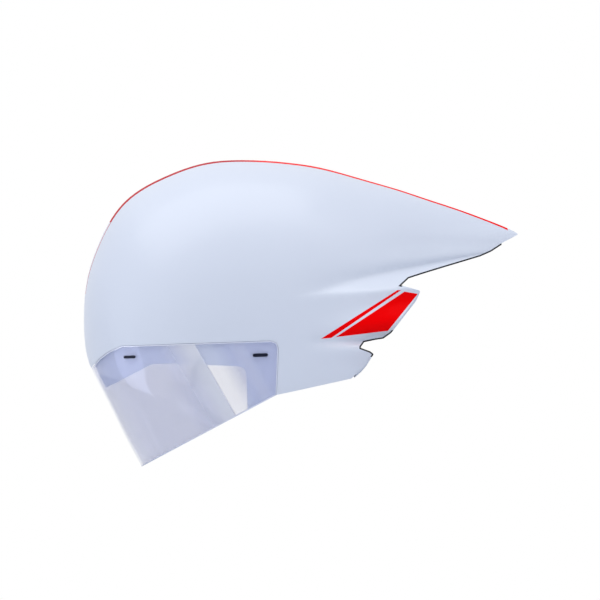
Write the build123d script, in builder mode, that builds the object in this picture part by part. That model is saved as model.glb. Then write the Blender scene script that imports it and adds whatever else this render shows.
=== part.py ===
"""An aero time trial helmet: teardrop shell, foam liner, clip-on visor, fit system and straps.

Everything is drawn in the riding attitude, with the origin at the centre of the head, X towards
the tail, Y across and Z up. The last lines set the finished helmet down on the visor tip and the
rear corners of the ear covers, which is how it stands on a table.
"""

import os
from math import atan2, cos, degrees, hypot, pi, radians, sin, sqrt

from build123d import *

# Overall sizes, in millimetres. Shares of them place the outlines of the side view.
length = 380.0
height = 269.0
arch_half_width = 106.0
overrun = 60.0

# The arch sections turn about a line across the body, low down behind the visor.
fan_x = 30.0
fan_drop = 130.0
foot_radius = 25.0
arch_tuck_share = 0.12

# Shell, visor and foam
shell_wall = 2.0
lens_wall = 2.0
lens_gap = 0.4
brow_gap = 4.0
ledge_wall = 1.8
seam_gap = 0.4
foam_lip = 1.3
foam_setback = 3.0
tail_block = 14.0
magnet_radius = 3.5
front_slot_length, front_slot_height = 10.5, 2.6
rear_slot_length, rear_slot_height = 13.5, 3.0

# The head, its pads and the tunnel for the neck between the winglets
head_pitch = 30.0
front_wall = 17.84
side_wall = 26.0
pad_wall = 6.5
pad_gap = 0.3
neck_inset = 8.0
neck_corner = 28.0
neck_start, neck_top = 40.0, -18.0
neck_slope = 16.5

# Pads: how far each runs back, to the side and up from the centre of the head
brow_pad_back, brow_pad_side, brow_pad_rise = -52.0, 62.0, (-5.0, 20.0)
crown_pad_run, crown_pad_side, crown_pad_split = (-50.0, 62.0), 30.0, 5.0
side_pad_run, side_pad_rise = (-48.0, 58.0), (2.0, 40.0)
ear_pad_run, ear_pad_rise = (-10.0, 45.0), (-84.0, -56.0)
nape_pad_wall = 5.7
nape_pad_angles = (13.0, 45.0)
nape_pad_margin = 3.0

# Fit system: a cradle at the nape whose dial draws in two side arms
cradle_setback = 15.0
fit_level = -36.0
fit_travel = 6.0
cradle_height = 34.0
cradle_margin = 17.0
cradle_wall = 2.5
cradle_half_angle = 48.0
window_angles, window_height = (27.0, 43.0), 8.0
housing_half_angle = 26.0
housing_wall = 2.5
channel_gap = 0.5
channel_wall = 3.4
arm_wall = 1.4
arm_height = 9.0
arm_drop = 3.5
arm_end_angle = 95.0
rack_reach_angle = 8.0
shoulder_start, shoulder_stop = 25.0, 30.0
rack_back = 4.2
tooth_pitch = 4.0
pinion_teeth = 8
rack_first_tooth, rack_teeth = -1.5, 7
tooth_base, tooth_tip = 1.9, 0.9
tooth_inside, tooth_outside = 1.3, 1.0
knob_radius = 17.0
knob_length = 10.0
knob_edge = 1.2
grip_count = 12
grip_radius = 2.2
shaft_radius = 3.0
screw_radius = 1.2
screw_head_radius, screw_head_length = 3.6, 1.6
screw_length = 14.0
fixing_angle = 20.0
fixing_radius = 1.0
fixing_head_radius, fixing_head_length = 2.0, 1.0
running_gap = 0.05
part_gap = 0.3
tongue_width = 10.0
tongue_wall = 2.0
tongue_setback = 3.0
tongue_top = 20.0
elbow_level = -14.0
rail_width = 17.0
rail_bottom, rail_top = -4.0, 28.0
rail_wall = 1.2
rail_plate_width = 36.0
rail_pin_side, rail_pin_level = 13.2, 12.0
pocket_half_width = 32.0
pocket_depth = 10.0
pocket_top = -10.0
guide_angles = (74.0, 79.0)
guide_wall = 2.0

# Push pins that hold the rail and the webbing in the foam
pin_radius = 1.6
pin_length = 10.0
pin_head_radius = 4.2
pin_head_length = 1.6

# Straps, tucked up inside the helmet
web_width = 15.0
web_wall = 1.3
web_level = -13.0
web_reach = 62.0
web_end = 7.0
strap_place = -15.0
strap_margin = 9.2
strap_leg = 24.0
strap_turn_angle = 62.0
strap_seat = 18.5
divider_half_width = 11.0
divider_rise = (-27.0, -3.0)
divider_margin = 5.0
ear_width = 2.4
ear_rise = (-27.0, -19.0)
lever_wall = 2.2
lever_length = 19.0
lever_level = -23.5
lever_pin_radius = 1.0
buckle_half_length = 22.0
buckle_half_width = 12.0
buckle_overlap = 8.0
buckle_drop = 4.8
buckle_wall = 8.0
chin_pad_angles = (14.0, 52.0)
chin_pad_width, chin_pad_wall = 24.0, 3.0
rib_neck, rib_head = 2.2, 4.4
rib_neck_height, rib_head_height = 1.0, 1.2

# Ridge line of the helmet seen from the side: x, z, half width, squareness and flare of each arch.
ridge_shares = (
    (-0.143, -0.664, 0.88, 2.3, 0.0),
    (-0.173, -0.579, 0.90, 2.3, 0.0),
    (-0.207, -0.483, 0.93, 2.3, 0.0),
    (-0.252, -0.358, 0.96, 2.4, 0.0),
    (-0.281, -0.278, 0.975, 2.5, 0.0),
    (-0.309, -0.192, 0.985, 2.6, 0.0),
    (-0.318, -0.105, 0.99, 2.7, 0.0),
    (-0.318, -0.012, 1.0, 2.8, 0.0),
    (-0.309, 0.084, 1.0, 2.9, 0.0),
    (-0.287, 0.178, 1.0, 3.0, 0.0),
    (-0.225, 0.323, 1.0, 3.2, 0.0),
    (-0.126, 0.409, 1.0, 3.5, 0.0),
    (-0.026, 0.453, 1.0, 3.7, 0.0),
    (0.079, 0.4585, 1.0, 3.9, 0.0),
    (0.145, 0.452, 1.0, 3.9, 0.0),
    (0.2105, 0.4395, 0.97, 3.9, 0.05),
    (0.276, 0.417, 0.89, 3.8, 0.26),
    (0.342, 0.390, 0.78, 3.7, 0.6),
    (0.408, 0.363, 0.645, 3.6, 0.92),
    (0.474, 0.332, 0.50, 3.4, 1.0),
    (0.539, 0.302, 0.36, 3.2, 0.7),
    (0.605, 0.268, 0.22, 3.0, 0.3),
    (0.653, 0.241, 0.12, 2.8, 0.08),
    (0.682, 0.220, 0.05, 2.6, 0.0),
)
# The arch over the crown, the last one that the fan turns to and the first of the upright ones.
crown_index = 13

# The head lies inside the walls of shell and foam; the fit system and the straps follow the head.
ridge_front = min(station[0] for station in ridge_shares) * length
head_half_length = -ridge_front - front_wall
head_half_width = arch_half_width - side_wall
neck_half_width = head_half_width - neck_inset
cradle_radius = head_half_width - cradle_margin
fit_centre = head_half_length - cradle_setback - cradle_radius
tongue_run = head_half_length - tongue_setback
strap_radius = head_half_width - strap_margin
divider_outer = head_half_width - divider_margin
buckle_top = strap_radius - buckle_drop

# Creases of the two winglets, as x and z of their front and rear ends.
lower_crease_shares = ((0.194, -0.137), (0.321, -0.124))
upper_crease_shares = ((0.249, 0.042), (0.409, 0.088))
ledge_shares = (0.145, 0.409)
flare_most = 26.0
row_flare_shares = (0.6, 0.8, 1.0, 1.0, 0.55, 0.95, 1.0, 1.0, 0.85, 0.12)
top_row_shares = (0.1, 0.28, 0.48, 0.68, 0.84, 0.94, 0.985, 0.997, 1.0)
skirt_rise = 25.0
band_row = 16.0
crease_row = 5.0
ledge_front, ledge_rear = 5.0, 12.0
ledge_overlap = 3.0


def at(x_share, z_share):
    """A place of the side view, from its shares of the length and the height."""
    return (x_share * length, z_share * height)


def on_line(x, ends):
    """The height at x on the straight line through two places of the side view."""
    (x0, z0), (x1, z1) = (at(*end) for end in ends)
    return z0 + (x - x0) * (z1 - z0) / (x1 - x0)


def between(x, start, stop):
    """How far x has come from start to stop, from 0 to 1."""
    return min(1.0, max(0.0, (x - start) / (stop - start)))


def row_heights(x, ridge_z):
    """Heights of the rows of surface points on the upright arch at x, from its foot to its ridge."""
    low, high = on_line(x, lower_crease_shares), on_line(x, upper_crease_shares)
    ledge_start, ledge_full = (share * length for share in ledge_shares)
    ledge = ledge_front + (ledge_rear - ledge_front) * between(x, ledge_start, ledge_full)
    foot = foot_radius - fan_drop
    rows = [foot, foot + skirt_rise, low - band_row, low - crease_row, low, low + crease_row]
    rows += [(low + high) / 2, high - ledge - ledge_overlap, high - ledge + ledge_overlap, high]
    return rows + [high + (ridge_z - high) * share for share in top_row_shares]


def arch(station):
    """Foot, upward direction, reach and half outline (across, up) of one arch."""
    x_share, z_share, width_share, squareness, flare_share = station
    ridge_x, ridge_z = at(x_share, z_share)
    half_width = width_share * arch_half_width
    crown_x, crown_z = at(*ridge_shares[crown_index][:2])
    crown_rows = row_heights(crown_x, crown_z)
    crown_foot = foot_radius - fan_drop
    if ridge_x < crown_x:
        run, rise = ridge_x - crown_x, ridge_z + fan_drop
        spoke = hypot(run, rise)
        up = (run / spoke, rise / spoke)
        foot = (crown_x + up[0] * foot_radius, up[1] * foot_radius - fan_drop)
        reach = spoke - foot_radius
        heights = [(z - crown_foot) / (crown_z - crown_foot) * reach for z in crown_rows]
    else:
        up, foot = (0, 1), (ridge_x, crown_foot)
        reach = ridge_z - crown_foot
        heights = [z - crown_foot for z in row_heights(ridge_x, ridge_z)]
    half_outline = []
    for row, rise in enumerate(heights):
        share = rise / reach
        across = half_width * sqrt(max(0, 1 - share**squareness)) * (1 - arch_tuck_share * (1 - share) ** 2)
        if row < len(row_flare_shares):
            across += flare_most * flare_share * row_flare_shares[row]
        half_outline.append((across, rise))
    half_outline[-1] = (0, reach)
    return foot, up, reach, half_outline


def point_spacing(outlines):
    """Share of the way along an outline at which each point lies, on the average of the outlines."""
    totals = [0.0] * len(outlines[0])
    for points in outlines:
        runs = [0.0]
        for (y0, s0), (y1, s1) in zip(points, points[1:]):
            runs.append(runs[-1] + hypot(y1 - y0, s1 - s0))
        totals = [total + run / runs[-1] for total, run in zip(totals, runs)]
    return [total / totals[-1] for total in totals]


def body_form(side_inset=0.0, ridge_inset=0.0):
    """The whole teardrop body with the visor's share of it, drawn in by the insets."""
    spacing = point_spacing([arch(station)[3] for station in ridge_shares])
    with BuildPart() as form:
        for station in ridge_shares:
            foot, up, reach, half_outline = arch(station)
            widest = max(across for across, rise in half_outline)
            narrow, shorten = 1 - side_inset / widest, 1 - ridge_inset / reach
            right = [Vector(y * narrow, s * shorten) for y, s in half_outline]
            plane = Plane(origin=(foot[0], 0, foot[1]), x_dir=(0, 1, 0), z_dir=(up[1], 0, -up[0]))
            with BuildSketch(plane):
                with BuildLine():
                    add(Edge.make_spline(right, parameters=spacing))
                    mirror(about=Plane.YZ)
                    Line(right[0], (-right[0].X, right[0].Y))
                make_face()
        loft()
    return form.part


def side_block(outline, half_span, grow=0.0):
    """A closed outline of the side view, grown by a margin and run out to both sides."""
    with BuildPart() as block:
        with BuildSketch(Plane.XZ):
            with BuildLine():
                Polyline(*outline, close=True)
            make_face()
            if grow:
                offset(amount=grow)
        extrude(amount=half_span, both=True)
    return block.part


# Outline of the visor in the side view, run out in front of the helmet.
visor_shares = (
    (-0.400, -0.220),
    (-0.301, -0.220),
    (-0.283, -0.188),
    (-0.261, -0.165),
    (-0.231, -0.147),
    (0.113, -0.130),
    (0.126, -0.137),
    (0.130, -0.153),
    (0.126, -0.3065),
    (-0.187, -0.541),
    (-0.400, -0.541),
)
# Lower edge of the shell: brow, eyeport, ear cover, lower winglet, upper winglet and tail.
brow_edge_shares = ((-0.400, -0.280), (-0.265, -0.280), (-0.243, -0.266), (-0.162, -0.206), (-0.115, -0.2035))
eyeport_edge_shares = ((0.040, -0.213), (0.051, -0.220), (0.0565, -0.240), (0.059, -0.357))
ear_edge_shares = ((0.122, -0.3075), (0.180, -0.290), (0.298, -0.253))
lower_wing_shares = ((0.3185, -0.228), (0.330, -0.209), (0.341, -0.184), (0.346, -0.174), (0.340, -0.168))
notch_shares = ((0.317, -0.156), (0.317, -0.148), (0.326, -0.130), (0.353, -0.122))
upper_wing_shares = ((0.371, -0.118), (0.388, -0.101), (0.411, -0.059), (0.445, 0.003), (0.4537, 0.030))
tail_edge_shares = ((0.407, 0.049), (0.429, 0.078), (0.457, 0.091), (0.503, 0.111), (0.595, 0.150))
tail_end_shares = ((0.619, 0.165), (0.642, 0.186), (0.682, 0.216))
# Corners well clear of the helmet: behind the tail, below it, below its middle and before it.
clear_shares = ((0.760, 0.216), (0.760, -0.760), (0.298, -0.760), (-0.400, -0.760))
# Slots of the visor, which the magnets of the shell sit behind.
front_slot_shares, rear_slot_shares = (-0.2135, -0.1826), (0.0884, -0.1764)
slot_tilt = 2.0

visor_outline = [at(*place) for place in visor_shares]
visor_tip_index = 9
front_edge = [at(*place) for place in brow_edge_shares + eyeport_edge_shares + ear_edge_shares]
wing_edge = [at(*place) for place in lower_wing_shares + notch_shares + upper_wing_shares]
tail_edge = [at(*place) for place in tail_edge_shares + tail_end_shares]
behind_tail, below_tail, below_middle, below_front = (at(*place) for place in clear_shares)

# The head: an egg about the line from its face to its back, with the neck running on below it.
pitch = radians(head_pitch)
head_plane = Plane(origin=(0, 0, 0), x_dir=(cos(pitch), 0, sin(pitch)), z_dir=(-sin(pitch), 0, cos(pitch)))


def head_form(clearance):
    """The space that the head takes, drawn in by a clearance and open towards the neck."""
    half_length, half_width = head_half_length - clearance, head_half_width - clearance
    with BuildPart() as form:
        with BuildSketch(Plane.XZ):
            with BuildLine():
                dome = CenterArc((0, 0), half_width, 0, 90)
                Polyline(dome @ 0, (half_width, -length / 2), (0, -length / 2), dome @ 1)
            make_face()
        revolve(axis=Axis.Z)
        scale(by=(half_length / half_width, 1, 1))
    return head_plane.location * form.part


def level(rise):
    """The plane square to the head's own upright, at a height over the head's centre."""
    return head_plane.offset(rise)


def facing_back(run, rise=0.0):
    """A plane across the head at a place behind its centre; its own X runs across, its Y up."""
    origin = head_plane.from_local_coords((run, 0, rise))
    return Plane(origin=origin, x_dir=(0, 1, 0), z_dir=head_plane.x_dir)


def facing_left(across_place=0.0):
    """A plane along the head at a place beside its centre; its own X runs forward, its Y up."""
    origin = head_plane.from_local_coords((0, across_place, 0))
    return Plane(origin=origin, x_dir=-head_plane.x_dir, z_dir=(0, 1, 0))


def head_block(run, side, rise):
    """A block in the head's own frame between two values of each of back, across and up."""
    with BuildPart() as block:
        with BuildSketch(level(min(rise))):
            with Locations(((run[0] + run[1]) / 2, (side[0] + side[1]) / 2)):
                Rectangle(run[1] - run[0], side[1] - side[0])
        extrude(amount=max(rise) - min(rise))
    return block.part


def arc_band(inner, outer, low, high, start, stop):
    """A band bent about the fit system's centre, between two angles from straight back."""
    with BuildPart() as band:
        with BuildSketch(level(low)):
            with BuildLine():
                outside = CenterArc((fit_centre, 0), outer, start, stop - start)
                inside = CenterArc((fit_centre, 0), inner, start, stop - start)
                Line(outside @ 0, inside @ 0)
                Line(outside @ 1, inside @ 1)
            make_face()
        extrude(amount=high - low)
    return band.part


def strap_band(inner, outer, width, start, stop):
    """A band bent over the head in the plane of the chin strap; the angles start at the left ear."""
    with BuildPart() as band:
        with BuildSketch(facing_back(strap_place)):
            with BuildLine():
                outside = CenterArc((0, 0), outer, start, stop - start)
                inside = CenterArc((0, 0), inner, start, stop - start)
                Line(outside @ 0, inside @ 0)
                Line(outside @ 1, inside @ 1)
            make_face()
        extrude(amount=width / 2, both=True)
    return band.part


def slot_block(place, slot_length, slot_height):
    """A rounded slot of the visor, run through both of its sides."""
    with BuildPart() as block:
        with BuildSketch(Plane.XZ):
            with Locations(at(*place)):
                SlotOverall(slot_length, slot_height, rotation=slot_tilt)
        extrude(amount=across, both=True)
    return block.part


# Forms that several pieces share
across = 2 * arch_half_width
tail_tip_x = ridge_shares[-1][0] * length
outer_form = body_form()
shell_inner_form = body_form(shell_wall, shell_wall)
lens_inner_form = body_form(lens_wall, lens_wall)
recess_form = body_form(lens_wall + lens_gap, lens_wall + lens_gap + brow_gap)
ledge_form = body_form(lens_wall + lens_gap + ledge_wall, lens_wall + lens_gap + brow_gap + ledge_wall)
visor_block = side_block(visor_outline, across)
recess_block = side_block(visor_outline, across, seam_gap)
ledge_block = side_block(visor_outline, across, seam_gap + ledge_wall)
rear_edge = wing_edge + tail_edge + [behind_tail, below_tail]
below_shell = side_block(front_edge + rear_edge + [below_front], across)
below_foam_front = side_block(front_edge + [below_middle, below_front], across, foam_setback)
below_foam_rear = side_block(front_edge[-1:] + rear_edge + [below_middle], across, -foam_lip)
cavity = head_form(0)

# Foam and shell meet on one surface: the inside of the shell, and of its ledge behind the visor.
with BuildPart() as ledge_side:
    add(ledge_form)
    add(ledge_block, mode=Mode.INTERSECT)
with BuildPart() as hollow:
    add(shell_inner_form)
    add(ledge_block, mode=Mode.SUBTRACT)
    add(ledge_side.part)
    split(bisect_by=Plane.YZ.offset(tail_tip_x - tail_block), keep=Keep.BOTTOM)

# Slots of the visor and the magnets that sit behind them
with BuildPart() as slots:
    add(slot_block(front_slot_shares, front_slot_length, front_slot_height))
    add(slot_block(rear_slot_shares, rear_slot_length, rear_slot_height))
with BuildPart() as magnet_holes:
    with BuildSketch(Plane.XZ):
        with Locations(at(*front_slot_shares), at(*rear_slot_shares)):
            Circle(magnet_radius)
    extrude(amount=across, both=True)

# Moulded shell, with the recessed ledge that the visor lies on and the edge of the eyeport
with BuildPart() as recess:
    add(recess_block)
    add(recess_form, mode=Mode.SUBTRACT)
with BuildPart() as whole_shell:
    add(outer_form)
    add(hollow.part, mode=Mode.SUBTRACT)
    add(recess.part, mode=Mode.SUBTRACT)
    add(below_shell, mode=Mode.SUBTRACT)
with BuildPart() as outer_shell:
    add(whole_shell.part)
    add(magnet_holes.part, mode=Mode.SUBTRACT)

# Four magnets, let into the ledge behind the slots of the visor
with BuildPart() as shell_magnets:
    add(whole_shell.part)
    add(magnet_holes.part, mode=Mode.INTERSECT)

# Clip-on visor: one bent sheet, flush with the shell
with BuildPart() as whole_lens:
    add(outer_form)
    add(visor_block, mode=Mode.INTERSECT)
    add(lens_inner_form, mode=Mode.SUBTRACT)
with BuildPart() as visor_lens:
    add(whole_lens.part)
    add(slots.part, mode=Mode.SUBTRACT)

# Rounded steel bars in the slots of the visor, which the magnets hold
with BuildPart() as visor_clips:
    add(whole_lens.part)
    add(slots.part, mode=Mode.INTERSECT)

# Tunnel for the neck, which leaves the winglets as two walls
with BuildPart() as neck_tunnel:
    with BuildSketch(Plane.YZ.offset(neck_start)) as tunnel_section:
        with Locations((0, neck_top)):
            Rectangle(2 * neck_half_width, 2 * height, align=(Align.CENTER, Align.MAX))
        fillet(tunnel_section.vertices().group_by(Axis.Z)[-1], neck_corner)
    slope = radians(neck_slope)
    extrude(amount=length, dir=(cos(slope), 0, sin(slope)))

# Places of the push pins: at the ends of the webbing, square to the wall, and beside the rail
pitch_radius = pinion_teeth * tooth_pitch / (2 * pi)
rail_back = tongue_run + tongue_wall + part_gap + rail_wall
rail_front = tongue_run - part_gap - rail_wall
pin_planes = [
    Plane(
        origin=head_plane.from_local_coords((rail_back - rail_wall, side * rail_pin_side, rail_pin_level)),
        x_dir=(0, 1, 0),
        z_dir=head_plane.x_dir,
    )
    for side in (-1, 1)
]
web_inner = part_gap + web_wall
web_anchor = web_reach - web_end
for run in (-web_anchor, web_anchor):
    for side in (-1, 1):
        half_length, half_width = head_half_length - web_inner, head_half_width - web_inner
        wall = half_width * sqrt(1 - (run / half_length) ** 2)
        outward = Vector(run / half_length**2, side * wall / half_width**2, 0).normalized()
        origin = head_plane.from_local_coords((run, side * wall, web_level))
        normal = head_plane.from_local_coords(outward)
        pin_planes.append(Plane(origin=origin, x_dir=head_plane.z_dir, z_dir=normal))

# Pockets of the foam: for the dial, for its rail, and for the pins
with BuildPart() as pin_holes:
    for plane in pin_planes:
        with BuildSketch(plane):
            Circle(pin_radius)
        extrude(amount=pin_length)
back_wall = head_half_length + pocket_depth
dial_run = (fit_centre, back_wall)
dial_rise = (-length / 2, pocket_top)
with BuildPart() as foam_pockets:
    add(head_block(dial_run, (-pocket_half_width, pocket_half_width), dial_rise))
    pocket_side = rail_plate_width / 2 + part_gap
    add(head_block((fit_centre, rail_back), (-pocket_side, pocket_side), (pocket_top, rail_top + part_gap)))

# Foam liner: between the shell and the head, with the winglets' cores and the tunnel for the neck
with BuildPart() as foam_liner:
    add(hollow.part)
    add(cavity, mode=Mode.SUBTRACT)
    add(neck_tunnel.part, mode=Mode.SUBTRACT)
    add(below_foam_front, mode=Mode.SUBTRACT)
    add(below_foam_rear, mode=Mode.SUBTRACT)
    add(foam_pockets.part, mode=Mode.SUBTRACT)
    add(pin_holes.part, mode=Mode.SUBTRACT)

# Padding of one thickness, which follows the wall of the cavity
with BuildPart() as pad_layer:
    add(head_form(pad_gap))
    add(head_form(pad_gap + pad_wall), mode=Mode.SUBTRACT)

# Pad across the brow
with BuildPart() as brow_pad:
    add(pad_layer.part)
    brow_side = (-brow_pad_side, brow_pad_side)
    add(head_block((-length, brow_pad_back), brow_side, brow_pad_rise), mode=Mode.INTERSECT)

# Two pads under the crown, one behind the other
crown_middle = sum(crown_pad_run) / 2
crown_front = (crown_pad_run[0], crown_middle - crown_pad_split / 2)
crown_rear = (crown_middle + crown_pad_split / 2, crown_pad_run[1])
crown_side = (-crown_pad_side, crown_pad_side)
with BuildPart() as crown_blocks:
    add(head_block(crown_front, crown_side, (0, length / 2)))
    add(head_block(crown_rear, crown_side, (0, length / 2)))
with BuildPart() as crown_pads:
    add(pad_layer.part)
    add(crown_blocks.part, mode=Mode.INTERSECT)

# A pad on either side of the head, over the ears
side_pad_start = head_half_width / 2
with BuildPart() as side_blocks:
    add(head_block(side_pad_run, (side_pad_start, across), side_pad_rise))
    add(head_block(side_pad_run, (-across, -side_pad_start), side_pad_rise))
with BuildPart() as side_pads:
    add(pad_layer.part)
    add(side_blocks.part, mode=Mode.INTERSECT)

# A pad inside either ear cover
with BuildPart() as ear_blocks:
    add(head_block(ear_pad_run, (side_pad_start, across), ear_pad_rise))
    add(head_block(ear_pad_run, (-across, -side_pad_start), ear_pad_rise))
with BuildPart() as ear_pads:
    add(pad_layer.part)
    add(ear_blocks.part, mode=Mode.INTERSECT)

# Webbing along both sides of the cavity
web_rise = (web_level - web_width / 2, web_level + web_width / 2)
with BuildPart() as web_blocks:
    add(head_block((-web_reach, web_reach), (side_pad_start, across), web_rise))
    add(head_block((-web_reach, web_reach), (-across, -side_pad_start), web_rise))
with BuildPart() as web_holes:
    for plane in pin_planes:
        with BuildSketch(plane):
            Circle(pin_radius + part_gap)
        extrude(amount=pin_length, both=True)
with BuildPart() as strap_webs:
    add(head_form(part_gap))
    add(head_form(part_gap + web_wall), mode=Mode.SUBTRACT)
    add(web_blocks.part, mode=Mode.INTERSECT)
    add(web_holes.part, mode=Mode.SUBTRACT)

# Push pins, all alike
with BuildPart() as push_pins:
    for plane in pin_planes:
        with BuildSketch(plane):
            Circle(pin_radius)
        extrude(amount=pin_length)
        with BuildSketch(plane.offset(-part_gap)):
            Circle(pin_head_radius)
        extrude(amount=-pin_head_length)
        with BuildSketch(plane.offset(-part_gap)):
            Circle(pin_radius)
        extrude(amount=part_gap)

# Rail for the height of the cradle: a flat tube on a plate
channel_half_width = tongue_width / 2 + part_gap
plate_side = rail_plate_width / 2
plate_run = (rail_back - rail_wall, rail_back - running_gap)
with BuildPart() as height_rail:
    tube_run, tube_side = (rail_front, rail_back - running_gap), (-rail_width / 2, rail_width / 2)
    add(head_block(tube_run, tube_side, (rail_bottom, rail_top)))
    add(head_block(plate_run, (-plate_side, plate_side), (rail_bottom, rail_top)))
    channel_run = (tongue_run - part_gap, tongue_run + tongue_wall + part_gap)
    channel_side = (-channel_half_width, channel_half_width)
    add(head_block(channel_run, channel_side, (rail_bottom, rail_top)), mode=Mode.SUBTRACT)
    add(web_holes.part, mode=Mode.SUBTRACT)

# Levels and radii of the fit system
cradle_outside = cradle_radius + cradle_wall
arm_inside = cradle_outside + channel_gap
arm_outside = arm_inside + arm_wall
housing_inside = arm_outside + channel_gap
housing_outside = housing_inside + housing_wall
cradle_low, cradle_high = fit_level - cradle_height / 2, fit_level + cradle_height / 2
channel_low, channel_high = cradle_low + channel_wall, cradle_high - channel_wall
dial_origin = head_plane.from_local_coords((fit_centre, 0, fit_level))
dial_plane = Plane(origin=dial_origin, x_dir=(0, 1, 0), z_dir=head_plane.x_dir)


def round_bar(radius, start, stop):
    """A round bar on the axis of the dial, between two distances behind the fit system's centre."""
    with BuildPart() as bar:
        with BuildSketch(dial_plane.offset(start)):
            Circle(radius)
        extrude(amount=stop - start)
    return bar.part


# Places of the four screws that join the housing to the cradle, square to its curve
fixing_planes = []
for level_of_wall in (cradle_low + channel_wall / 2, cradle_high - channel_wall / 2):
    for angle in (-fixing_angle, fixing_angle):
        outward = head_plane.x_dir * cos(radians(angle)) + Vector(0, sin(radians(angle)), 0)
        middle = head_plane.from_local_coords((fit_centre, 0, level_of_wall))
        fixing_planes.append(Plane(origin=middle, x_dir=head_plane.z_dir, z_dir=outward))


def fixing_bars(radius, start, stop):
    """Round bars on the places of the housing's screws, between two radii."""
    with BuildPart() as bars:
        for plane in fixing_planes:
            with BuildSketch(plane.offset(start)):
                Circle(radius)
            extrude(amount=stop - start)
    return bars.part


fixing_holes = fixing_bars(fixing_radius, cradle_radius / 2, housing_outside * 2)
head_holes = fixing_bars(fixing_head_radius, housing_outside - part_gap, housing_outside * 2)

# Screws that join the housing to the cradle
with BuildPart() as housing_screws:
    add(fixing_bars(fixing_radius, cradle_radius, housing_outside))
    add(fixing_bars(fixing_head_radius, housing_outside - part_gap, housing_outside + fixing_head_length))

# Cradle under the back of the head, with the tongue that rides in the rail
riser_back = fit_centre + cradle_outside - part_gap
tongue_side = (-tongue_width / 2, tongue_width / 2)
tongue_back = tongue_run + tongue_wall
with BuildPart() as nape_cradle:
    cradle_spread = (-cradle_half_angle, cradle_half_angle)
    add(arc_band(cradle_radius, cradle_outside, cradle_low, cradle_high, *cradle_spread))
    riser_front = fit_centre + cradle_radius
    elbow_rise = (elbow_level - tongue_wall, elbow_level)
    add(head_block((riser_front, riser_back), tongue_side, (fit_level, elbow_level)))
    add(head_block((riser_front, tongue_back), tongue_side, elbow_rise))
    add(head_block((tongue_run, tongue_back), tongue_side, (elbow_level - tongue_wall, tongue_top)))
    add(fixing_holes, mode=Mode.SUBTRACT)
    for start in (window_angles[0], -window_angles[1]):
        for middle in (fit_level - window_height, fit_level + window_height):
            window_low, window_high = middle - window_height / 2, middle + window_height / 2
            window_stop = start + window_angles[1] - window_angles[0]
            window_inside, window_outside = cradle_radius / 2, cradle_outside * 2
            window = arc_band(window_inside, window_outside, window_low, window_high, start, window_stop)
            add(window, mode=Mode.SUBTRACT)
    add(round_bar(shaft_radius + running_gap, cradle_radius / 2, cradle_outside * 2), mode=Mode.SUBTRACT)

# Soft pads on the cradle
with BuildPart() as nape_pads:
    pad_outside = cradle_radius - part_gap
    pad_low, pad_high = cradle_low + nape_pad_margin, cradle_high - nape_pad_margin
    for start, stop in (nape_pad_angles, (-nape_pad_angles[1], -nape_pad_angles[0])):
        add(arc_band(pad_outside - nape_pad_wall, pad_outside, pad_low, pad_high, start, stop))

# Cover of the dial's works, open at both sides for the arms
with BuildPart() as dial_housing:
    spread = (-housing_half_angle, housing_half_angle)
    add(arc_band(housing_inside, housing_outside, cradle_low, cradle_high, *spread))
    add(arc_band(cradle_outside, housing_inside + channel_gap, channel_high, cradle_high, *spread))
    add(arc_band(cradle_outside, housing_inside + channel_gap, cradle_low, channel_low, *spread))
    add(fixing_holes, mode=Mode.SUBTRACT)
    add(head_holes, mode=Mode.SUBTRACT)
    add(round_bar(shaft_radius + running_gap, cradle_radius, housing_outside * 2), mode=Mode.SUBTRACT)


def tooth(base, tip, root, top):
    """One tooth as a closed outline, standing up from its root."""
    with BuildSketch() as outline:
        Polygon((-base / 2, root), (base / 2, root), (tip / 2, top), (-tip / 2, top), align=None)
    return outline.sketch


# Side arm of the left half. Its rack runs over the pinion and on to the other side.
rack_root = pitch_radius + tooth_inside
rack_tip = pitch_radius - tooth_outside
arm_middle = (arm_inside + arm_outside) / 2
pitch_angle = degrees(tooth_pitch / arm_middle)
arm_low = fit_level - arm_drop
rack_low, rack_high = fit_level + rack_root, fit_level + rack_root + rack_back
with BuildPart() as side_arm_left:
    add(arc_band(arm_inside, arm_outside, arm_low, arm_low + arm_height, shoulder_start, arm_end_angle))
    add(arc_band(arm_inside, arm_outside, arm_low, rack_high, shoulder_start, shoulder_stop))
    add(arc_band(arm_inside, arm_outside, rack_low, rack_high, -rack_reach_angle, shoulder_stop))
    for index in range(rack_teeth):
        turn = radians((index + rack_first_tooth) * pitch_angle)
        outward = head_plane.x_dir * cos(turn) + Vector(0, sin(turn), 0)
        tooth_origin = dial_origin + outward * arm_inside
        sideways = head_plane.z_dir.cross(outward)
        tooth_plane = Plane(origin=tooth_origin, x_dir=sideways, z_dir=outward)
        with BuildSketch(tooth_plane):
            add(tooth(tooth_base, tooth_tip, rack_root + part_gap, rack_tip))
        extrude(amount=arm_wall)

# The right arm is the left one turned half round on the axis of the dial.
with BuildPart() as side_arm_right:
    add(side_arm_left.part.rotate(Axis(dial_origin, head_plane.x_dir), 180))

# Pinion between the two racks
pinion_start, pinion_stop = cradle_outside + part_gap, housing_inside - part_gap
with BuildPart() as dial_pinion:
    with BuildSketch(dial_plane.offset(pinion_start)):
        Circle(pitch_radius - tooth_inside)
        for index in range(pinion_teeth):
            with Locations(Rotation(0, 0, index * 360 / pinion_teeth)):
                add(tooth(tooth_base, tooth_tip, tooth_inside, pitch_radius + tooth_outside))
        Circle(shaft_radius, mode=Mode.SUBTRACT)
    extrude(amount=pinion_stop - pinion_start)

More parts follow.
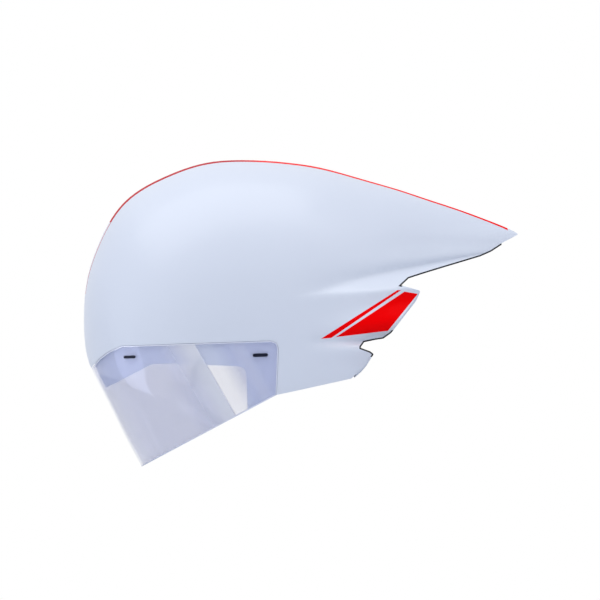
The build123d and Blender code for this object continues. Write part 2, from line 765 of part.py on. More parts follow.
# Knob with its shaft, which turns in the cradle and the housing
knob_start = housing_outside + channel_gap
screw_seat = cradle_radius - part_gap
with BuildPart() as dial_knob:
    with BuildSketch(dial_plane.offset(knob_start)):
        Circle(knob_radius)
    extrude(amount=knob_length)
    chamfer(dial_knob.edges().group_by(Axis((0, 0, 0), head_plane.x_dir))[-1], knob_edge)
    with BuildSketch(dial_plane.offset(knob_start)):
        with PolarLocations(knob_radius + grip_radius / 2, grip_count):
            Circle(grip_radius)
    extrude(amount=knob_length, mode=Mode.SUBTRACT)
    add(round_bar(shaft_radius, screw_seat, knob_start))
    add(round_bar(screw_radius, screw_seat, screw_seat + screw_length), mode=Mode.SUBTRACT)

# Screw that keeps the dial on the cradle
with BuildPart() as dial_screw:
    add(round_bar(screw_radius, screw_seat, screw_seat + screw_length))
    add(round_bar(screw_head_radius, screw_seat - screw_head_length, screw_seat))

# Guides on the foam that the ends of the arms slide in
arm_spread = fit_travel + arm_height - arm_drop + part_gap
guide_low, guide_high = fit_level - arm_spread - guide_wall, fit_level + arm_spread
guide_start, guide_stop = guide_angles
guide_inside = arm_inside - channel_gap - guide_wall
slot_inside, slot_outside = arm_inside - channel_gap, arm_outside + channel_gap
with BuildPart() as arm_guides:
    for side in (-1, 1):
        first, last = sorted((side * guide_start, side * guide_stop))
        add(arc_band(guide_inside, across, guide_low, guide_high + guide_wall, first, last))
        window = arc_band(slot_inside, slot_outside, guide_low + guide_wall, guide_high, first, last)
        add(window, mode=Mode.SUBTRACT)
    add(head_form(running_gap), mode=Mode.INTERSECT)

# Dividers where the webbing meets the chin strap, with ears for the cam levers
divider_inner = strap_radius + part_gap
ear_inner = strap_radius - web_wall - part_gap - lever_wall
divider_run = (strap_place - divider_half_width, strap_place + divider_half_width)
ear_run = divider_half_width - ear_width
lever_place = strap_radius - web_wall - part_gap - lever_wall / 2
with BuildPart() as strap_dividers:
    for side in (-1, 1):
        first, last = sorted((side * divider_inner, side * divider_outer))
        add(head_block(divider_run, (first, last), divider_rise))
        for start in (strap_place - divider_half_width, strap_place + ear_run):
            first, last = sorted((side * ear_inner, side * divider_outer))
            add(head_block((start, start + ear_width), (first, last), ear_rise))
        with BuildSketch(facing_back(strap_place)):
            with Locations((side * lever_place, lever_level)):
                Circle(lever_pin_radius + running_gap)
        extrude(amount=divider_half_width * 2, both=True, mode=Mode.SUBTRACT)


def cam_lever(side):
    """The lever that nips the chin strap on one side, with the pin that it turns on."""
    with BuildPart() as lever:
        with BuildSketch(facing_back(strap_place)):
            with Locations((side * lever_place, lever_level)):
                Circle(lever_wall / 2)
                Rectangle(lever_wall, lever_length, align=(Align.CENTER, Align.MIN))
        extrude(amount=ear_run - part_gap, both=True)
        with BuildSketch(facing_back(strap_place)):
            with Locations((side * lever_place, lever_level)):
                Circle(lever_pin_radius)
        extrude(amount=divider_half_width, both=True)
    return lever.part


# Cam lever on the left
with BuildPart() as cam_lever_left:
    add(cam_lever(1))

# Cam lever on the right
with BuildPart() as cam_lever_right:
    add(cam_lever(-1))

# Chin strap in two halves, each from its divider up under the crown to the buckle
strap_middle = strap_radius - web_wall / 2
turn = radians(strap_turn_angle)
turn_place, turn_level = strap_middle * cos(turn), strap_middle * sin(turn)


def chin_strap():
    """The half of the chin strap on the left."""
    with BuildPart() as strap:
        with BuildSketch(facing_back(strap_place)):
            with BuildLine():
                outside = CenterArc((0, 0), strap_radius, 0, strap_turn_angle)
                inside = CenterArc((0, 0), strap_radius - web_wall, 0, strap_turn_angle)
                Line(outside @ 0, inside @ 0)
                Line(outside @ 1, inside @ 1)
            make_face()
            with Locations((strap_middle, 0)):
                Rectangle(web_wall, strap_leg, align=(Align.CENTER, Align.MAX))
            with Locations((strap_seat, turn_level)):
                Rectangle(turn_place - strap_seat, web_wall, align=(Align.MIN, Align.CENTER))
            with Locations((turn_place, turn_level)):
                Circle(web_wall / 2)
        extrude(amount=web_width / 2, both=True)
    return strap.part


# Left half of the chin strap
with BuildPart() as chin_strap_left:
    add(chin_strap())

# Right half of the chin strap
with BuildPart() as chin_strap_right:
    add(chin_strap().mirror(Plane.XZ))

# Soft pad along the left half of the strap, where it meets the chin
with BuildPart() as chin_pad:
    pad_outside = strap_radius - web_wall - part_gap
    add(strap_band(pad_outside - chin_pad_wall, pad_outside, chin_pad_width, *chin_pad_angles))

# Buckle whose halves slide apart sideways: a rib of the plug runs in a groove of the socket
buckle_low = buckle_top - buckle_wall
buckle_middle = (buckle_low + buckle_top) / 2
slot_half_height = web_wall / 2 + part_gap
neck_low = buckle_middle - part_gap / 2 - rib_neck_height
head_low = neck_low - rib_head_height
tab_length = buckle_half_length - buckle_overlap - part_gap
rib_slot_width = 2 * (rib_neck + part_gap)


def strap_slot(side):
    """The slot at the end of a buckle half that holds the strap."""
    first, last = sorted((side * (strap_seat - part_gap), side * across))
    slot_side = web_width / 2 + part_gap
    run = (strap_place - slot_side, strap_place + slot_side)
    return head_block(run, (first, last), (turn_level - slot_half_height, turn_level + slot_half_height))


# Socket of the buckle, on the right half of the strap
with BuildPart() as buckle_socket:
    with BuildSketch(facing_back(strap_place)):
        with Locations((-buckle_half_length, buckle_low)):
            Rectangle(tab_length, buckle_wall, align=(Align.MIN, Align.MIN))
            Rectangle(
                buckle_half_length + buckle_overlap,
                buckle_middle - part_gap / 2 - buckle_low,
                align=(Align.MIN, Align.MIN),
            )
        with Locations((0, head_low - part_gap)):
            Rectangle(
                2 * (rib_head + part_gap),
                rib_head_height + 2 * part_gap,
                align=(Align.CENTER, Align.MIN),
                mode=Mode.SUBTRACT,
            )
            Rectangle(rib_slot_width, buckle_wall, align=(Align.CENTER, Align.MIN), mode=Mode.SUBTRACT)
    extrude(amount=buckle_half_width, both=True)
    add(strap_slot(-1), mode=Mode.SUBTRACT)

# Plug of the buckle, on the left half of the strap
with BuildPart() as buckle_plug:
    with BuildSketch(facing_back(strap_place)):
        with Locations((buckle_half_length, buckle_low)):
            Rectangle(tab_length, buckle_wall, align=(Align.MAX, Align.MIN))
        with Locations((buckle_half_length, buckle_top)):
            Rectangle(
                buckle_half_length + buckle_overlap,
                buckle_top - buckle_middle - part_gap / 2,
                align=(Align.MAX, Align.MAX),
            )
        with Locations((0, head_low)):
            Rectangle(2 * rib_head, rib_head_height, align=(Align.CENTER, Align.MIN))
            Rectangle(2 * rib_neck, buckle_wall / 2, align=(Align.CENTER, Align.MIN))
    extrude(amount=buckle_half_width, both=True)
    add(strap_slot(1), mode=Mode.SUBTRACT)

# Set the helmet down: it leans on the tip of the visor and the rear corners of the ear covers.
pieces = {
    "outer_shell": outer_shell,
    "shell_magnets": shell_magnets,
    "visor_lens": visor_lens,
    "visor_clips": visor_clips,
    "foam_liner": foam_liner,
    "brow_pad": brow_pad,
    "crown_pads": crown_pads,
    "side_pads": side_pads,
    "ear_pads": ear_pads,
    "strap_webs": strap_webs,
    "push_pins": push_pins,
    "height_rail": height_rail,
    "nape_cradle": nape_cradle,
    "nape_pads": nape_pads,
    "dial_housing": dial_housing,
    "housing_screws": housing_screws,
    "side_arm_left": side_arm_left,
    "side_arm_right": side_arm_right,
    "dial_pinion": dial_pinion,
    "dial_knob": dial_knob,
    "dial_screw": dial_screw,
    "arm_guides": arm_guides,
    "strap_dividers": strap_dividers,
    "cam_lever_left": cam_lever_left,
    "cam_lever_right": cam_lever_right,
    "chin_strap_left": chin_strap_left,
    "chin_strap_right": chin_strap_right,
    "chin_pad": chin_pad,
    "buckle_socket": buckle_socket,
    "buckle_plug": buckle_plug,
}
(tip_x, tip_z), (corner_x, corner_z) = visor_outline[visor_tip_index], front_edge[-1]
lean = degrees(atan2(corner_z - tip_z, corner_x - tip_x))
turned = {name: Rotation(0, lean, 0) * piece.part for name, piece in pieces.items()}
boxes = [piece.bounding_box() for piece in turned.values()]
front, back = min(box.min.X for box in boxes), max(box.max.X for box in boxes)
floor = min(box.min.Z for box in boxes)
set_down = Location((-(front + back) / 2, 0, -floor)) * Rotation(0, lean, 0)

os.makedirs("parts", exist_ok=True)
for name, piece in pieces.items():
    finished = set_down * piece.part
    finished.label = name
    export_step(finished, f"parts/{name}.step")
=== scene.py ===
"""Looks of the time trial helmet: foam, paint, visor, fit system, padding, straps and studio."""

import math

import bmesh
import bpy
from mathutils import Matrix, Vector


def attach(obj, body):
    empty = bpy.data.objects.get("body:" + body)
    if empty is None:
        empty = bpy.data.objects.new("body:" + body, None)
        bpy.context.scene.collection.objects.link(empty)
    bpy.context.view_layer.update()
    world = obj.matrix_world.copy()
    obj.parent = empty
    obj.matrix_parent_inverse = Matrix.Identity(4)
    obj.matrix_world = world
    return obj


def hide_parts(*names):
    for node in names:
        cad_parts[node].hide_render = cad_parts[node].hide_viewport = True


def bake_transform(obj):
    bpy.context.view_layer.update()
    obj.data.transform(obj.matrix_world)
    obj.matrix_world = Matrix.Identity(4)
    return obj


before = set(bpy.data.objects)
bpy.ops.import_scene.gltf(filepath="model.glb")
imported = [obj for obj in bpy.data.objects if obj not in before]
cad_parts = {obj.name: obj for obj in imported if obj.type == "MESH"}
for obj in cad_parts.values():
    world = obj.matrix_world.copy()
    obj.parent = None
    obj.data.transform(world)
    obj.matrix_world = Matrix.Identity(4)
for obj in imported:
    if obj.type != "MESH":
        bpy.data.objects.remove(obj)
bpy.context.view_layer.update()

# Foam liner: expanded polystyrene beads, steamed together in a mould and dyed black in the bead.
# It is held by the shell all round, and shows as dark edges below the shell and as the walls
# of the cavity. Its skin is matt, with a faint network of flattened beads.


def colour(code):
    """An sRGB hex value as a linear colour."""
    shares = [int(code[i : i + 2], 16) / 255 for i in (1, 3, 5)]
    return [s / 12.92 if s <= 0.04045 else ((s + 0.055) / 1.055) ** 2.4 for s in shares] + [1.0]


def material(name):
    """A new material, the tree of its nodes, and its shader."""
    made = bpy.data.materials.new(name)
    made.use_nodes = True
    return made, made.node_tree, made.node_tree.nodes["Principled BSDF"]


def feed(made, feeds):
    """Feeds the sockets of a node, by name or in their order.

    A feed is a value, a hex colour, a socket, or a node, which gives its first output in use.
    """
    for name, value in feeds.items() if isinstance(feeds, dict) else enumerate(feeds):
        if isinstance(value, bpy.types.Node):
            value = next(output for output in value.outputs if output.enabled)
        if isinstance(value, bpy.types.NodeSocket):
            made.id_data.links.new(value, made.inputs[name])
        else:
            made.inputs[name].default_value = colour(value) if isinstance(value, str) else value


def node(tree, kind, feeds=(), **settings):
    """Adds a shader node with its settings, and feeds its sockets."""
    made = tree.nodes.new("ShaderNode" + kind)
    for name, value in settings.items():
        setattr(made, name, value)
    feed(made, feeds)
    return made


def finish_with(name, made):
    """Gives a CAD piece its material."""
    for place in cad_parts[name].material_slots:
        place.material = made


# The helmet is worn nose down. The patterns are laid out in that riding attitude, as run, side
# and rise: behind, beside and above the centre of the head.
riding_lean = math.radians(22.8)
riding_centre = (-0.0666177, 0.0, 0.107022)


def riding_axes(tree, place):
    """The run, side and rise of a place."""
    moved = node(tree, "VectorMath", [place, riding_centre], operation="SUBTRACT")
    feeds = {"Vector": moved, "Angle": -riding_lean}
    riding = node(tree, "VectorRotate", feeds, rotation_type="Y_AXIS")
    return node(tree, "SeparateXYZ", [riding]).outputs


def depth_inside(tree, corners, run, rise):
    """How far a place lies inside a convex outline of the side view, in metres.

    The corners go round clockwise, and give run and rise in millimetres.
    """
    depth = None
    for (x0, z0), (x1, z1) in zip(corners, corners[1:] + corners[:1]):
        reach = math.hypot(x1 - x0, z1 - z0)
        across, up = (z1 - z0) / reach, (x0 - x1) / reach
        offset = -(across * x0 + up * z0) / 1000
        level = node(tree, "Math", [run, across, offset], operation="MULTIPLY_ADD")
        line = node(tree, "Math", [rise, up, level], operation="MULTIPLY_ADD")
        depth = node(tree, "Math", [line, depth], operation="MINIMUM") if depth else line
    return depth


foam_bead, tree, shader = material("expanded_polystyrene")
place = node(tree, "TexCoord").outputs["Object"]
bead_width, seam_share, dent_depth = 0.00303, 0.09, 0.0003
bead_grid = {"Vector": place, "Scale": 1 / bead_width}
beads = node(tree, "TexVoronoi", bead_grid, feature="F1")
seams = node(tree, "TexVoronoi", bead_grid, feature="DISTANCE_TO_EDGE")
swell = node(tree, "MapRange", [seams, 0.0, seam_share])
black_foam = node(tree, "Mix", {"Factor": beads, "A": "#26272b", "B": "#121317"}, data_type="RGBA")
# The rim behind the two winglets is sealed with the shell's white lacquer, on the outermost
# faces that look sideways.
run, side, rise = riding_axes(tree, place)
upper_rim = [(146.0, -31.0), (146.0, -20.0), (156.0, 14.0), (182.0, 14.0), (182.0, -31.0)]
lower_rim = [(112.0, -72.0), (129.5, -49.0), (140.0, -49.0), (140.0, -72.0)]
rim_depths = [depth_inside(tree, corners, run, rise) for corners in (upper_rim, lower_rim)]
on_rim = node(tree, "Math", rim_depths, operation="MAXIMUM")
sealed = node(tree, "Math", [on_rim, 0.0], operation="GREATER_THAN")
normal = node(tree, "NewGeometry").outputs["Normal"]
sideways = node(tree, "SeparateXYZ", [normal]).outputs["Y"]
least_sideways, least_side = 0.62, 0.0745
for value, least in ((sideways, least_sideways), (side, least_side)):
    size = node(tree, "Math", [value], operation="ABSOLUTE")
    enough = node(tree, "Math", [size, least], operation="GREATER_THAN")
    sealed = node(tree, "Math", [sealed, enough], operation="MULTIPLY")
foam = node(tree, "Mix", {"Factor": sealed, "A": black_foam, "B": "#dfe5ee"}, data_type="RGBA")
dents = node(tree, "Bump", {"Height": swell, "Strength": 0.5, "Distance": dent_depth})
feed(shader, {"Base Color": foam, "Normal": dents, "Roughness": 0.72})
finish_with("foam_liner", foam_bead)

# Outer shell: polycarbonate sheet, thermoformed and trimmed, then painted white and lacquered
# to a satin gloss. The red stripes are painted too: one along the ridge, and two on the lower
# edge of each upper winglet.
shell_paint, tree, shader = material("lacquered_polycarbonate")
place = node(tree, "TexCoord").outputs["Object"]
run, side, rise = riding_axes(tree, place)
across = node(tree, "Math", [side], operation="ABSOLUTE")
paint_edge = 0.0001
shell_white, front_red, rear_red = "#dfe4ec", "#c2001c", "#ff0003"


def under(tree, value, limit):
    """1 where a value is under a limit, with the soft edge of a stripe of paint."""
    below = node(tree, "Math", [limit, value], operation="SUBTRACT")
    return node(tree, "MapRange", [below, -paint_edge, paint_edge])


# The stripe along the ridge tapers towards the tail. Down the brow only its two outlines go on.
ridge_half, brow_half, tail_half, outline_width = 0.0163, 0.0100, 0.0020, 0.0024
taper_run, tail_run, stripe_end = 0.080, 0.249, 0.2505
brow_foot, brow_top, ridge_foot = 0.006, 0.069, 0.058
rear_half = node(tree, "MapRange", [run, taper_run, tail_run, ridge_half, tail_half])
front_half = node(tree, "MapRange", [rise, brow_foot, brow_top, brow_half, ridge_half])
stripe_half = node(tree, "Math", [rear_half, front_half], operation="MINIMUM")
inner_half = node(tree, "Math", [stripe_half, outline_width], operation="SUBTRACT")
in_front = under(tree, run, 0.0)
on_brow = node(tree, "Math", [under(tree, rise, brow_top), in_front], operation="MULTIPLY")
hollow = node(tree, "Math", [under(tree, across, inner_half), on_brow], operation="MULTIPLY")
stripe = node(tree, "Math", [under(tree, across, stripe_half), hollow], operation="SUBTRACT")
drop = node(tree, "Math", [rise, -1.0], operation="MULTIPLY")
above_brow = node(tree, "Math", [under(tree, drop, -brow_foot), in_front], operation="MULTIPLY")
on_top = node(tree, "Math", [above_brow, under(tree, drop, -ridge_foot)], operation="MAXIMUM")
before_tip = node(tree, "Math", [on_top, under(tree, run, stripe_end)], operation="MULTIPLY")
ridge_paint = node(tree, "Math", [stripe, before_tip], operation="MULTIPLY")
# The stripes of the upper winglets, as corners of the side view.
thin_stripe = [(86.8, -33.1), (153.9, 9.6), (157.2, 9.6), (95.8, -32.4)]
broad_stripe = [(99.7, -31.7), (160.1, 8.3), (171.8, 6.3), (145.6, -26.1)]
wing_depths = [depth_inside(tree, corners, run, rise) for corners in (thin_stripe, broad_stripe)]
wing_depth = node(tree, "Math", wing_depths, operation="MAXIMUM")
wing_paint = node(tree, "MapRange", [wing_depth, -paint_edge, paint_edge])
red_paint = node(tree, "Math", [ridge_paint, wing_paint], operation="MAXIMUM")
# The red of the ridge is a darker crimson over the front half of the helmet.
crimson_end, red_start = 0.010, 0.040
smooth = {"interpolation_type": "SMOOTHSTEP"}
rearward = node(tree, "MapRange", [run, crimson_end, red_start], **smooth)
ridge_red = node(tree, "Mix", {"Factor": rearward, "A": front_red, "B": rear_red}, data_type="RGBA")
red = node(tree, "Mix", {"Factor": wing_paint, "A": ridge_red, "B": rear_red}, data_type="RGBA")
paint = node(tree, "Mix", {"Factor": red_paint, "A": shell_white, "B": red}, data_type="RGBA")
coat = node(tree, "MapRange", [red_paint, 0.0, 1.0, 0.25, 0.02])
gloss = node(tree, "MapRange", [red_paint, 0.0, 1.0, 0.28, 0.02])
# The lacquer has a faint orange peel, with ripples 2.38 mm apart.
peel_width, peel_depth = 0.00238, 0.0002
peel = node(tree, "TexNoise", {"Vector": place, "Scale": 1 / peel_width, "Detail": 1.0})
ripple = node(tree, "Bump", {"Height": peel, "Strength": 0.06, "Distance": peel_depth})
feed(shader, {"Base Color": paint, "Normal": ripple, "Coat Weight": coat, "Specular IOR Level": gloss})
feed(shader, {"Roughness": 0.42, "Coat Roughness": 0.22})
finish_with("outer_shell", shell_paint)

# Shell magnets: neodymium discs, pressed into the ledge behind the slots of the visor before the
# shell is painted. Its white lacquer covers them, a little rougher than on the sheet.
painted_disc, tree, shader = material("lacquered_neodymium")
place = node(tree, "TexCoord").outputs["Object"]
grain_width = 0.00111
grain = node(tree, "TexNoise", {"Vector": place, "Scale": 1 / grain_width, "Detail": 2.0})
wear = node(tree, "MapRange", [grain, 0.0, 1.0, 0.42, 0.56])
feed(shader, {"Base Color": shell_white, "Roughness": wear, "Specular IOR Level": 0.28})
finish_with("shell_magnets", painted_disc)

# Visor: one bent sheet of polycarbonate with a thin silver mirror on the outside. The mirror
# is so thin that the edge of the eyeport shows through it, and it tints what lies behind it
# lavender. A painted highlight makes a thin band just inside the sheet's edge brighter than its face.
mirror_sheet, tree, shader = material("silvered_polycarbonate")
place = node(tree, "TexCoord").outputs["Object"]
run, side, rise = riding_axes(tree, place)
visor_edge = [(-107.5, -50.6), (-99.2, -44.4), (-87.8, -39.5), (42.9, -35.0), (47.9, -36.9)]
visor_edge += [(49.4, -41.2), (47.9, -82.4), (-71.1, -145.5), (-152.0, -145.5), (-152.0, -106.5)]
# Painted highlight: just inside the sheet's edge in the side view, the colour is lighter and the cover
# thicker.
edge_highlight_start, edge_highlight_stop = 0.0007, 0.0013
edge_depth = depth_inside(tree, visor_edge, run, rise)
painted_edge_highlight = node(tree, "MapRange", [edge_depth, edge_highlight_start, edge_highlight_stop, 1.0, 0.0])


def band(tree, value, foot, crest, brink, end, height):
    """Rises smoothly while a value goes from foot to crest, and falls from brink to end."""
    risen = node(tree, "MapRange", [value, foot, crest, 0.0, height], **smooth)
    fallen = node(tree, "MapRange", [value, brink, end, 1.0, 0.0], **smooth)
    return node(tree, "Math", [risen, fallen], operation="MULTIPLY")


# Painted reflections: the silver is painted denser and whiter in two slanting bands, one broad
# and one narrow, standing in for lamps mirrored in the visor. Just behind the broad band a painted
# glare thins it, so that the white of the studio shows. The limits are metres across the bands.
slant_run, slant_rise = 0.8675, 0.498
sunk = node(tree, "Math", [rise, slant_rise], operation="MULTIPLY")
slant = node(tree, "Math", [run, slant_run, sunk], operation="MULTIPLY_ADD")
painted_reflection_broad = band(tree, slant, -0.078, -0.041, -0.0405, -0.0385, 0.8)
painted_reflection_narrow = band(tree, slant, -0.022, -0.008, -0.008, 0.004, 0.35)
clear = band(tree, slant, -0.0405, -0.0385, -0.032, -0.012, 1.0)
painted_reflections = node(tree, "Math", [painted_reflection_broad, painted_reflection_narrow], operation="MAXIMUM")
# The lavender of the lens is whitened by the painted reflections and then by the painted edge
# highlight.
tint = node(tree, "Mix", {"Factor": painted_reflections, "A": "#ccd2f6", "B": "#ffffff"}, data_type="RGBA")
tint = node(tree, "Mix", {"Factor": painted_edge_highlight, "A": tint, "B": "#f2f5ff"}, data_type="RGBA")
# The lens's cover thickens in the painted reflections and at the painted edge highlight, and thins in
# the painted glare.
cover_and_painted_highlights = node(tree, "MapRange", [painted_reflections, 0.0, 1.0, 0.24, 0.62])
painted_glare_thinning = node(tree, "MapRange", [clear, 0.0, 1.0, 1.0, 0.4])
cover_and_painted_highlights = node(tree, "Math", [cover_and_painted_highlights, painted_glare_thinning], operation="MULTIPLY")
edge_highlight_cover = node(tree, "Math", [painted_edge_highlight, 0.7], operation="MULTIPLY")
cover_and_painted_highlights = node(tree, "Math", [cover_and_painted_highlights, edge_highlight_cover], operation="MAXIMUM")
feed(shader, {"Base Color": tint, "Alpha": cover_and_painted_highlights, "Metallic": 0.2, "Roughness": 0.07, "IOR": 1.58})
finish_with("visor_lens", mirror_sheet)

# Visor clips: steel bars in the slots of the visor, which the magnets hold. They are blackened
# in hot salts, which leaves them blue-black and half matt.
blackened, tree, shader = material("blackened_steel")
place = node(tree, "TexCoord").outputs["Object"]
salt_width = 0.000833
salts = node(tree, "TexNoise", {"Vector": place, "Scale": 1 / salt_width, "Detail": 2.0})
sheen = node(tree, "MapRange", [salts, 0.0, 1.0, 0.3, 0.5])
feed(shader, {"Base Color": "#0b1026", "Roughness": sheen, "Metallic": 0.6})
finish_with("visor_clips", blackened)

# Fit system: parts moulded in black nylon with a fine spark-eroded texture, which gives the
# edges a soft sheen. The cradle, its housing, the arms, the rail and the guides are all of it,
# and so are the levers, dividers and buckle of the straps.
nylon, tree, shader = material("moulded_nylon")
place = node(tree, "TexCoord").outputs["Object"]
flow_width, spark_width, spark_depth = 0.025, 0.000667, 0.0001
flow = node(tree, "TexNoise", {"Vector": place, "Scale": 1 / flow_width, "Detail": 2.0})
black = node(tree, "Mix", {"Factor": flow, "A": "#1b1c1f", "B": "#292a2e"}, data_type="RGBA")
spark = node(tree, "TexNoise", {"Vector": place, "Scale": 1 / spark_width, "Detail": 3.0})
grit = node(tree, "Bump", {"Height": spark, "Strength": 0.25, "Distance": spark_depth})
feed(shader, {"Base Color": black, "Normal": grit, "Roughness": 0.46})
nylon_parts = ["nape_cradle", "dial_housing", "side_arm_left", "side_arm_right", "height_rail"]
nylon_parts += ["arm_guides", "dial_pinion", "push_pins", "strap_dividers", "cam_lever_left"]
nylon_parts += ["cam_lever_right", "buckle_socket", "buckle_plug"]
mould_radius, sharp_edge, same_point = 0.0003, math.radians(50), 0.00001
for name in nylon_parts:
    finish_with(name, nylon)
    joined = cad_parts[name].modifiers.new("joined_faces", "WELD")
    joined.merge_threshold = same_point
    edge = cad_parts[name].modifiers.new("moulded_edge", "BEVEL")
    edge.width = mould_radius
    edge.segments = 2
    edge.limit_method = "ANGLE"
    edge.angle_limit = sharp_edge
    edge.harden_normals = True

# Dial knob: a hard core with a skin of red thermoplastic rubber, moulded over it for grip.
# The rubber is satin, with a slightly paler bloom on it.
red_rubber, tree, shader = material("thermoplastic_rubber")
place = node(tree, "TexCoord").outputs["Object"]
bloom_width = 0.00833
bloom = node(tree, "TexNoise", {"Vector": place, "Scale": 1 / bloom_width, "Detail": 3.0})
skin = node(tree, "Mix", {"Factor": bloom, "A": "#b80d14", "B": "#cf1b20"}, data_type="RGBA")
feed(shader, {"Base Color": skin, "Roughness": 0.5})
finish_with("dial_knob", red_rubber)

# Screws: stainless steel, turned and then passivated, so that they look grey and silky. One
# holds the knob on its pinion, and four hold the housing on the cradle.
stainless, tree, shader = material("stainless_steel")
place = node(tree, "TexCoord").outputs["Object"]
cut_width = 0.000625
turned = node(tree, "TexNoise", {"Vector": place, "Scale": 1 / cut_width, "Detail": 2.0})
silk = node(tree, "MapRange", [turned, 0.0, 1.0, 0.22, 0.4])
feed(shader, {"Base Color": "#a9abad", "Roughness": silk, "Metallic": 1.0})
finish_with("dial_screw", stainless)
finish_with("housing_screws", stainless)

# Pads: open-cell foam, wrapped in a black knitted spacer mesh and welded shut round the rim.
# The mesh has small round holes in a close grid, and the welded channels let the pad bend.
spacer_mesh, tree, shader = material("knitted_spacer_mesh")
place = node(tree, "TexCoord").outputs["Object"]
# The holes are drawn 1.61 mm apart, a little coarser than real ones, so that they show.
hole_spacing, hole_depth = 0.001613, 0.0004
hole_grid = {"Vector": place, "Scale": 1 / hole_spacing, "Randomness": 0.35}
knit = node(tree, "TexVoronoi", hole_grid)
yarn = node(tree, "MapRange", [knit, 0.15, 0.5])
black = node(tree, "Mix", {"Factor": yarn, "A": "#0c0c0e", "B": "#303136"}, data_type="RGBA")
loops = node(tree, "Bump", {"Height": yarn, "Strength": 0.6, "Distance": hole_depth})
feed(shader, {"Base Color": black, "Normal": loops, "Roughness": 0.9, "Sheen Weight": 0.25})
head_axes = (Vector((0.992114, 0, 0.125336)), Vector((0, 1, 0)), Vector((-0.125336, 0, 0.992114)))
pad_voxel, weld_width, weld_depth = 0.0013, 0.0016, 0.0013
rim_rounds, weld_rounds, pad_fill = 10, 2, 0.8


def in_head(point):
    """A point's place behind, beside and above the centre of the head."""
    return Vector([axis.dot(point - Vector(riding_centre)) for axis in head_axes])


def relax(shape, rounds):
    """Rounds off a shape by smoothing it some times."""
    along = {"use_axis_x": True, "use_axis_y": True, "use_axis_z": True}
    for _ in range(rounds):
        bmesh.ops.smooth_vert(shape, verts=shape.verts, factor=0.5, **along)


def soft_pad(name, source, body, weld_axis, welds):
    """A pad in the space of its CAD piece: rounded edges, a crowned face and welded channels.

    The channels lie across one axis of the head, at the places that welds gives.
    """
    pad = bpy.data.objects.new(name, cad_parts[source].data.copy())
    bpy.context.scene.collection.objects.link(pad)
    shape = bmesh.new()
    shape.from_mesh(pad.data)
    bmesh.ops.remove_doubles(shape, verts=shape.verts, dist=same_point)
    shape.to_mesh(pad.data)
    shape.free()
    even = pad.modifiers.new("even_mesh", "REMESH")
    even.mode = "VOXEL"
    even.voxel_size = pad_voxel
    graph = bpy.context.evaluated_depsgraph_get()
    pad.data = bpy.data.meshes.new_from_object(pad.evaluated_get(graph))
    pad.modifiers.clear()
    shape = bmesh.new()
    shape.from_mesh(pad.data)
    relax(shape, rim_rounds)
    shape.normal_update()
    for vert in shape.verts:
        value = in_head(vert.co)[weld_axis]
        depth = sum(math.exp(-(((value - weld) / weld_width) ** 2)) for weld in welds)
        vert.co -= vert.normal * weld_depth * min(1.0, depth)
    relax(shape, weld_rounds)
    shape.to_mesh(pad.data)
    shape.free()
    for face in pad.data.polygons:
        face.use_smooth = True
    pad.data.materials.clear()
    pad.data.materials.append(spacer_mesh)
    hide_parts(source)
    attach(pad, body)


soft_pad("padding_brow", "brow_pad", "helmet", 1, (-0.045, -0.015, 0.015, 0.045))
soft_pad("padding_crown", "crown_pads", "helmet", 1, (-0.01, 0.01))
soft_pad("padding_sides", "side_pads", "helmet", 0, (-0.03, -0.01, 0.01, 0.03, 0.045))
soft_pad("padding_ears", "ear_pads", "helmet", 0, (0.008, 0.027))
soft_pad("padding_nape", "nape_pads", "cradle", 2, (-0.041, -0.031))
soft_pad("padding_chin", "chin_pad", "helmet", 2, (0.028, 0.042, 0.055))

# Webbing of the harness: black polyester yarn, woven flat, 15 mm wide, and heat-set. Every pick
# shows as a small chevron. Each web follows the wall of the cavity from a push pin at the
# temple, through the divider, to a push pin behind the ear.
webbing, tree, shader = material("polyester_webbing")
cloth = node(tree, "UVMap", uv_map="weave")
over_web, along_web, _ = node(tree, "SeparateXYZ", [cloth]).outputs
# One rib of the weave is 1.1 mm wide, and a pick 0.9 mm long, about twice the real ones.
rib_width, pick_length, yarn_depth = 0.0011, 0.0009, 0.0003
chevron = node(tree, "Math", [over_web, rib_width], operation="PINGPONG")
leaned = node(tree, "Math", [along_web, chevron], operation="ADD")
pick = node(tree, "Math", [leaned, pick_length / 2], operation="PINGPONG")
rib = node(tree, "Math", [over_web, rib_width / 2], operation="PINGPONG")
height = node(tree, "Math", [pick, rib], operation="ADD")
yarn = node(tree, "MapRange", [height, 0.0, (rib_width + pick_length) / 2])
black = node(tree, "Mix", {"Factor": yarn, "A": "#09090b", "B": "#2b2c31"}, data_type="RGBA")
weave = node(tree, "Bump", {"Height": yarn, "Strength": 0.7, "Distance": yarn_depth})
feed(shader, {"Base Color": black, "Normal": weave, "Roughness": 0.75, "Sheen Weight": 0.3})
web_width, web_wall, web_strands = 0.015, 0.0012, 6


def from_head(run, side, rise):
    """A point given behind, beside and above the centre of the head."""
    return Vector(riding_centre) + head_axes[0] * run + head_axes[1] * side + head_axes[2] * rise


